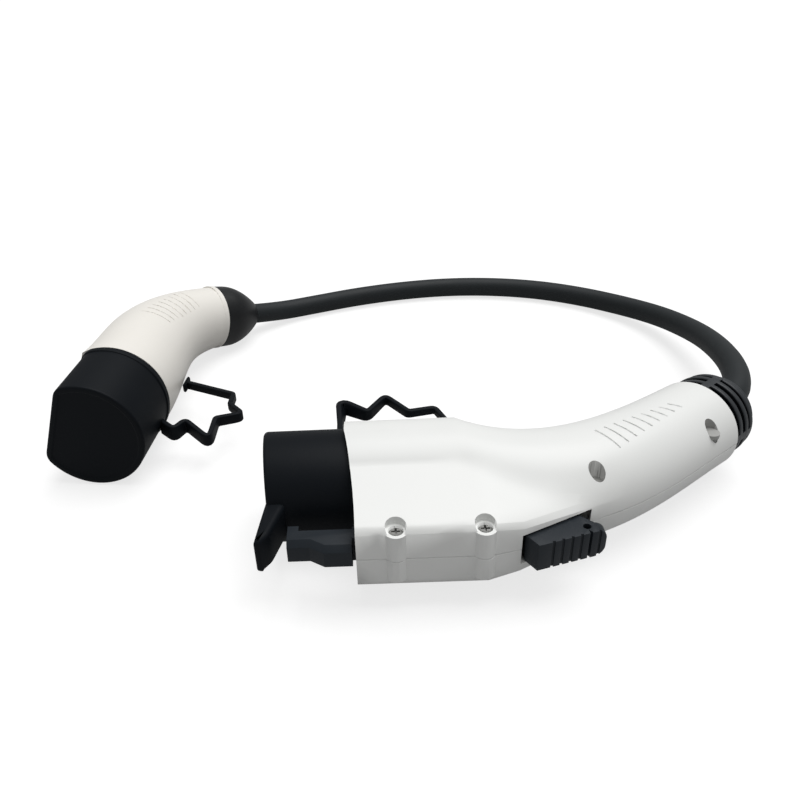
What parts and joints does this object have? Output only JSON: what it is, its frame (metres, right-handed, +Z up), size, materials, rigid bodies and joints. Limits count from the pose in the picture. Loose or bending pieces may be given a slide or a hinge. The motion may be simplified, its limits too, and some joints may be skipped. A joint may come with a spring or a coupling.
{
  "type": "ev charging adapter",
  "caption": "Short charging adapter lead: a bent plug with a latch lever and a bent keyed plug, joined by a cable, each nose under a strapped rubber cap.",
  "frame": {"origin": "centre of the bounding box of both plugs in plan, on the surface that the adapter lies on; the free cable is left out of that box", "axes": "+Z up; the latched plug points along -X with its latch side towards -Y; the keyed plug lies beyond it and points nearly along -Y; the cable joins the two at the +Y side"},
  "size_m": [0.3814, 0.3206, 0.0604],
  "materials": {
    "white_abs": "fine matt moulded surface",
    "cream_abs": "fine matt moulded surface",
    "black_plastic": "matt black moulding",
    "slate_plastic": "satin dark moulding",
    "cap_rubber": "matt rubber",
    "seal_rubber": "matt rubber",
    "cable_jacket": "satin jacket",
    "copper_alloy": "plated contact metal",
    "steel": "plain zinc-plated steel",
    "board": "coated board",
    "wire_insulation": "satin insulation"
  },
  "bodies": {
    "root": {"type1_upper_shell": "white_abs", "type1_lower_shell": "white_abs", "type1_nose": "black_plastic", "type1_nose_gasket": "seal_rubber", "type1_contact_block": "black_plastic", "type1_power_contacts": "copper_alloy", "type1_signal_contacts": "copper_alloy", "latch_pivot_pin": "steel", "latch_spring": "steel", "microswitch": "black_plastic", "resistor_board": "board", "front_shell_screws": "steel", "handle_shell_screws": "steel", "screw_plugs": "white_abs", "strain_relief_boot": "cap_rubber", "cable_clamp": "black_plastic", "clamp_screws": "steel", "type1_cable_tail": "cable_jacket", "type1_wires": "wire_insulation", "type1_strap": "cap_rubber", "type2_housing": "cream_abs", "type2_nose": "black_plastic", "type2_nose_gasket": "seal_rubber", "type2_contact_block": "black_plastic", "type2_power_pins": "copper_alloy", "type2_signal_pins": "copper_alloy", "type2_gland_nut": "black_plastic", "type2_gland_seal": "seal_rubber", "type2_clamp_claw": "black_plastic", "type2_cable_tail": "cable_jacket", "type2_wires": "wire_insulation", "type2_strap": "cap_rubber", "cable": "cable_jacket"},
    "latch_lever": {"latch_lever": "slate_plastic"},
    "type1_cap": {"type1_cap": "cap_rubber"},
    "type2_cap": {"type2_cap": "cap_rubber"}
  },
  "joints": [
    {"name": "latch_pivot", "type": "hinge", "parent": "root", "child": "latch_lever", "pos_m": [0.0227, -0.1212, 0.028], "axis": [0, 0, 1], "range_deg": [0, 5], "stiffness_Nm_per_rad": 3.5, "deforming": ["latch_spring"]},
    {"name": "type1_cap_pull", "type": "slide", "parent": "root", "child": "type1_cap", "axis": [-1, 0, 0], "range_m": [0, 0.06], "deforming": ["type1_strap"]},
    {"name": "type2_cap_pull", "type": "slide", "parent": "root", "child": "type2_cap", "axis": [-0.1045, -0.9945, 0], "range_m": [0, 0.065], "deforming": ["type2_strap"]}
  ]
}
